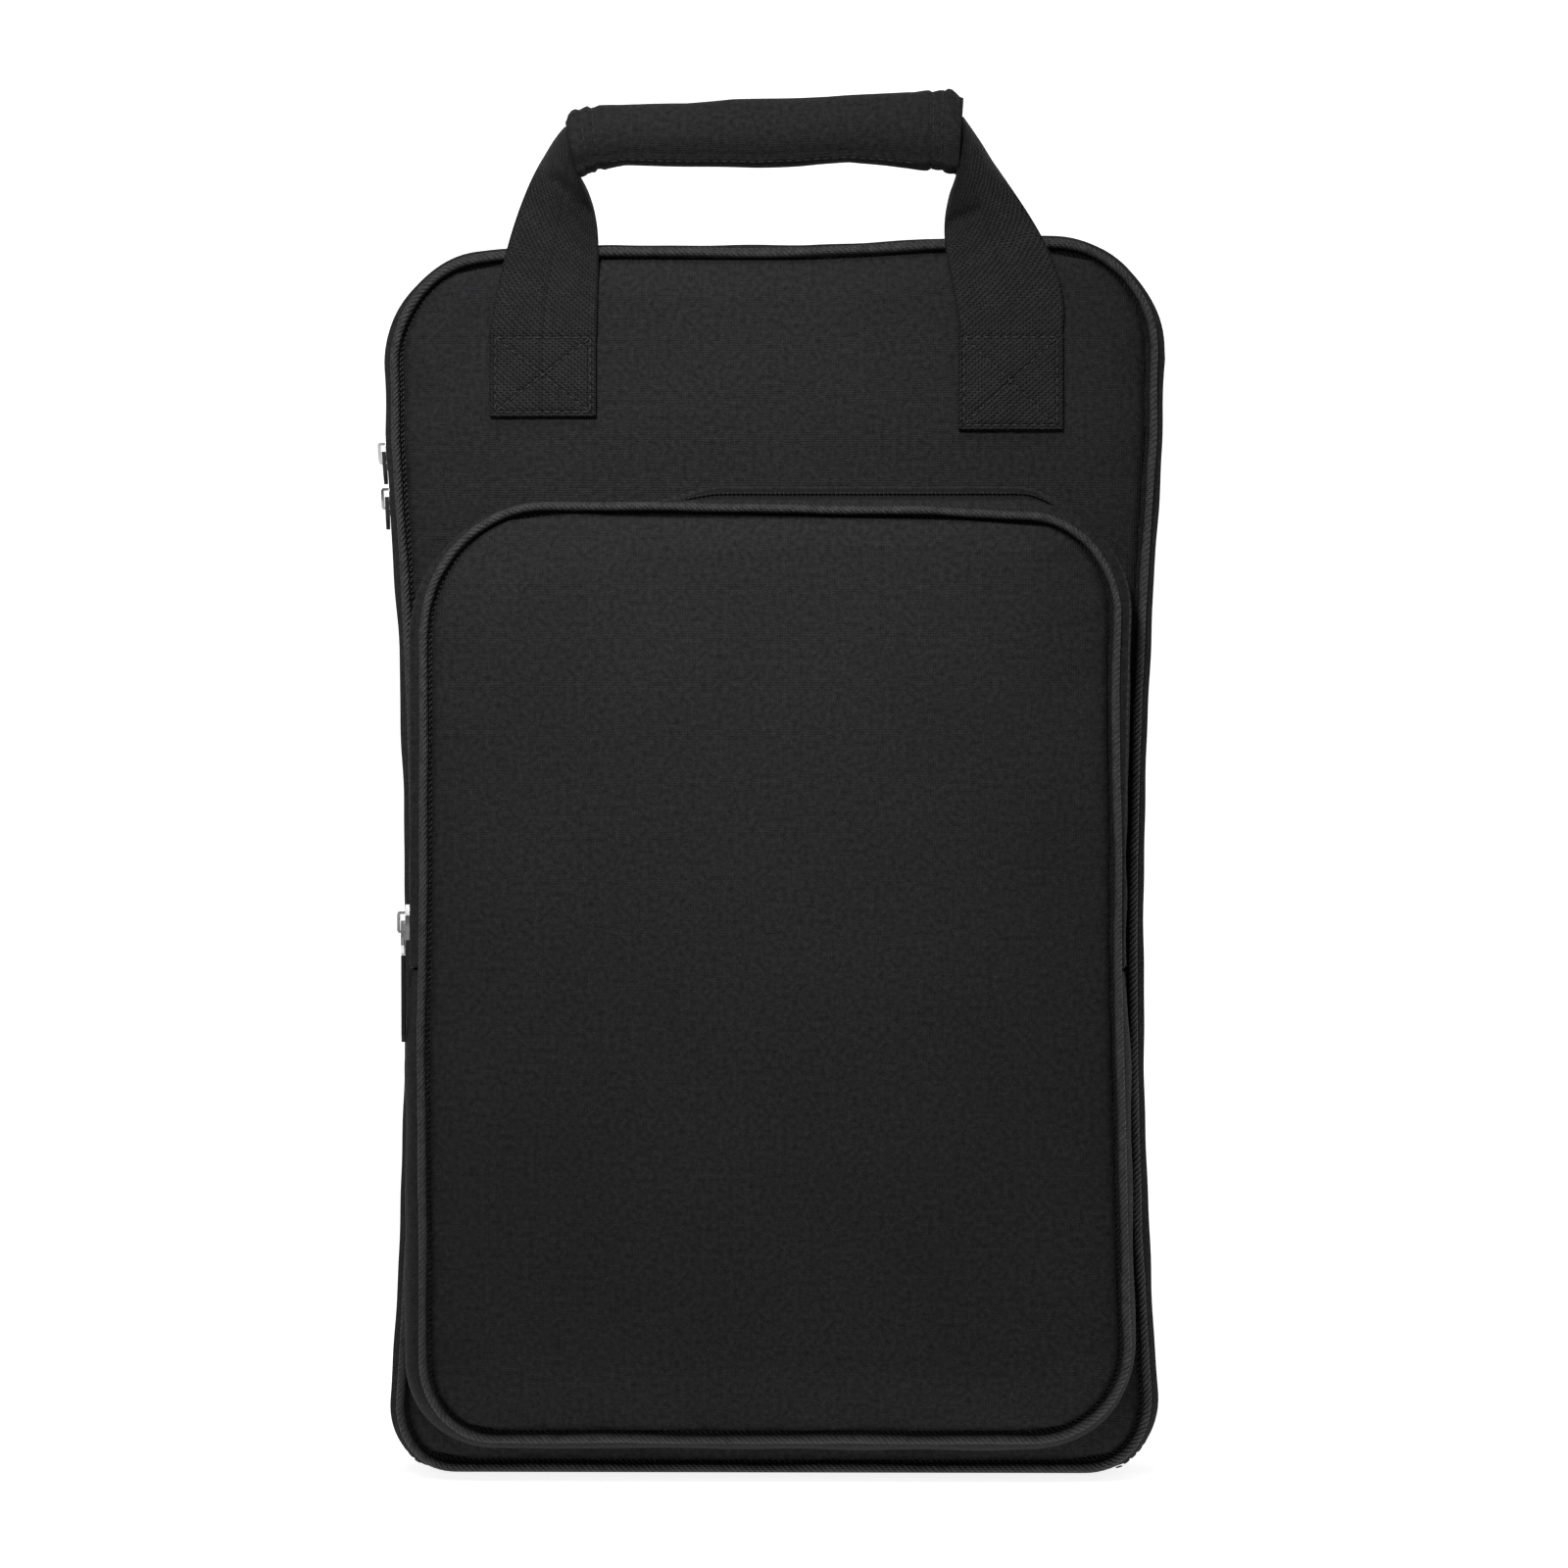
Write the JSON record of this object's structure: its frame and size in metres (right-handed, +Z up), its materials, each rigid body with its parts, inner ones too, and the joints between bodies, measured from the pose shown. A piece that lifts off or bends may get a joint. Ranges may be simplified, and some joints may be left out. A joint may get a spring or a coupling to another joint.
{
  "type": "drum stick bag",
  "caption": "Padded rectangular zip bag for drum sticks with a full-width front pocket, piped edges, inner stick sleeve and a padded top carry handle.",
  "frame": {"origin": "centre of the flat base, on the surface the bag stands on", "axes": "+Z up along the bag's height towards the handle; the front pocket faces -Y; +X is the right side as the front is seen"},
  "size_m": [0.295, 0.089, 0.5145],
  "materials": {
    "oxford": "plain black polyester oxford weave, matt",
    "piping": "black bias-cut fabric over a cord, slight sheen",
    "webbing": "black herringbone polypropylene webbing",
    "foam": "grey closed-cell foam",
    "lining": "dark grey plain-weave lining",
    "zip_tape": "black knitted zip tape",
    "zip_coil": "black nylon coil",
    "nickel": "bright nickel plate",
    "pull_rubber": "soft black moulded pull"
  },
  "bodies": {
    "rear_shell": {"back_panel": "oxford", "back_foam": "foam", "back_lining": "lining", "back_piping": "piping", "rear_gusset": "oxford", "rear_zip_tape": "zip_tape", "rear_zip_coil": "zip_coil", "hinge_gusset": "oxford", "zip_end_tab_lower": "oxford", "zip_end_tab_upper": "oxford", "stick_sleeve": "lining", "sleeve_binding": "zip_tape"},
    "front_cover": {"front_panel": "oxford", "front_foam": "foam", "front_lining": "lining", "front_piping": "piping", "front_gusset": "oxford", "front_zip_tape": "zip_tape", "front_zip_coil": "zip_coil", "pocket_lower_panel": "oxford", "pocket_lower_foam": "foam", "pocket_lower_piping": "piping", "pocket_lower_gusset": "oxford", "pocket_rear_gusset": "oxford", "pocket_rear_tape": "zip_tape", "pocket_rear_coil": "zip_coil", "pocket_tab_left": "webbing", "pocket_tab_right": "webbing", "left_web_patch": "webbing", "right_web_patch": "webbing"},
    "pocket_flap": {"pocket_upper_panel": "oxford", "pocket_upper_foam": "foam", "pocket_upper_piping": "piping", "pocket_front_gusset": "oxford", "pocket_front_tape": "zip_tape", "pocket_front_coil": "zip_coil"},
    "handle": {"left_handle_web": "webbing", "right_handle_web": "webbing", "grip_core": "foam", "grip_cover": "oxford"},
    "upper_slider": {"upper_slider": "nickel"},
    "upper_pull": {"upper_pull": "pull_rubber"},
    "lower_slider": {"lower_slider": "nickel"},
    "lower_pull": {"lower_pull": "pull_rubber"},
    "pocket_slider": {"pocket_slider": "nickel"},
    "pocket_pull": {"pocket_pull": "nickel", "pocket_pull_tab": "pull_rubber"}
  },
  "joints": [
    {"name": "cover_hinge", "type": "hinge", "parent": "rear_shell", "child": "front_cover", "pos_m": [0.1478, -0.012, 0.23], "axis": [0, 0, 1], "range_deg": [0, 150]},
    {"name": "pocket_fold", "type": "hinge", "parent": "front_cover", "child": "pocket_flap", "pos_m": [0, -0.0596, 0.189], "axis": [1, 0, 0], "range_deg": [0, 120]},
    {"name": "handle_fold", "type": "hinge", "parent": "front_cover", "child": "handle", "pos_m": [0, -0.0321, 0.424], "axis": [1, 0, 0], "range_deg": [0, 100]},
    {"name": "upper_slider_travel", "type": "slide", "parent": "rear_shell", "child": "upper_slider", "axis": [-0.074, 0, 0.9973], "range_m": [0, 0.025]},
    {"name": "upper_pull_swing", "type": "hinge", "parent": "upper_slider", "child": "upper_pull", "pos_m": [-0.1457, -0.012, 0.3797], "axis": [0, 1, 0], "range_deg": [0, 170]},
    {"name": "lower_slider_travel", "type": "slide", "parent": "rear_shell", "child": "lower_slider", "axis": [-0.0383, 0, 0.9993], "range_m": [-0.145, 0]},
    {"name": "lower_pull_swing", "type": "hinge", "parent": "lower_slider", "child": "lower_pull", "pos_m": [-0.14452, -0.012, 0.36285], "axis": [0, 1, 0], "range_deg": [0, 140]},
    {"name": "pocket_slider_travel", "type": "slide", "parent": "front_cover", "child": "pocket_slider", "axis": [-0.002, 0, 1], "range_m": [0, 0.095]},
    {"name": "pocket_pull_swing", "type": "hinge", "parent": "pocket_slider", "child": "pocket_pull", "pos_m": [-0.1364, -0.046, 0.20599], "axis": [0, 1, 0], "range_deg": [0, 170]}
  ]
}
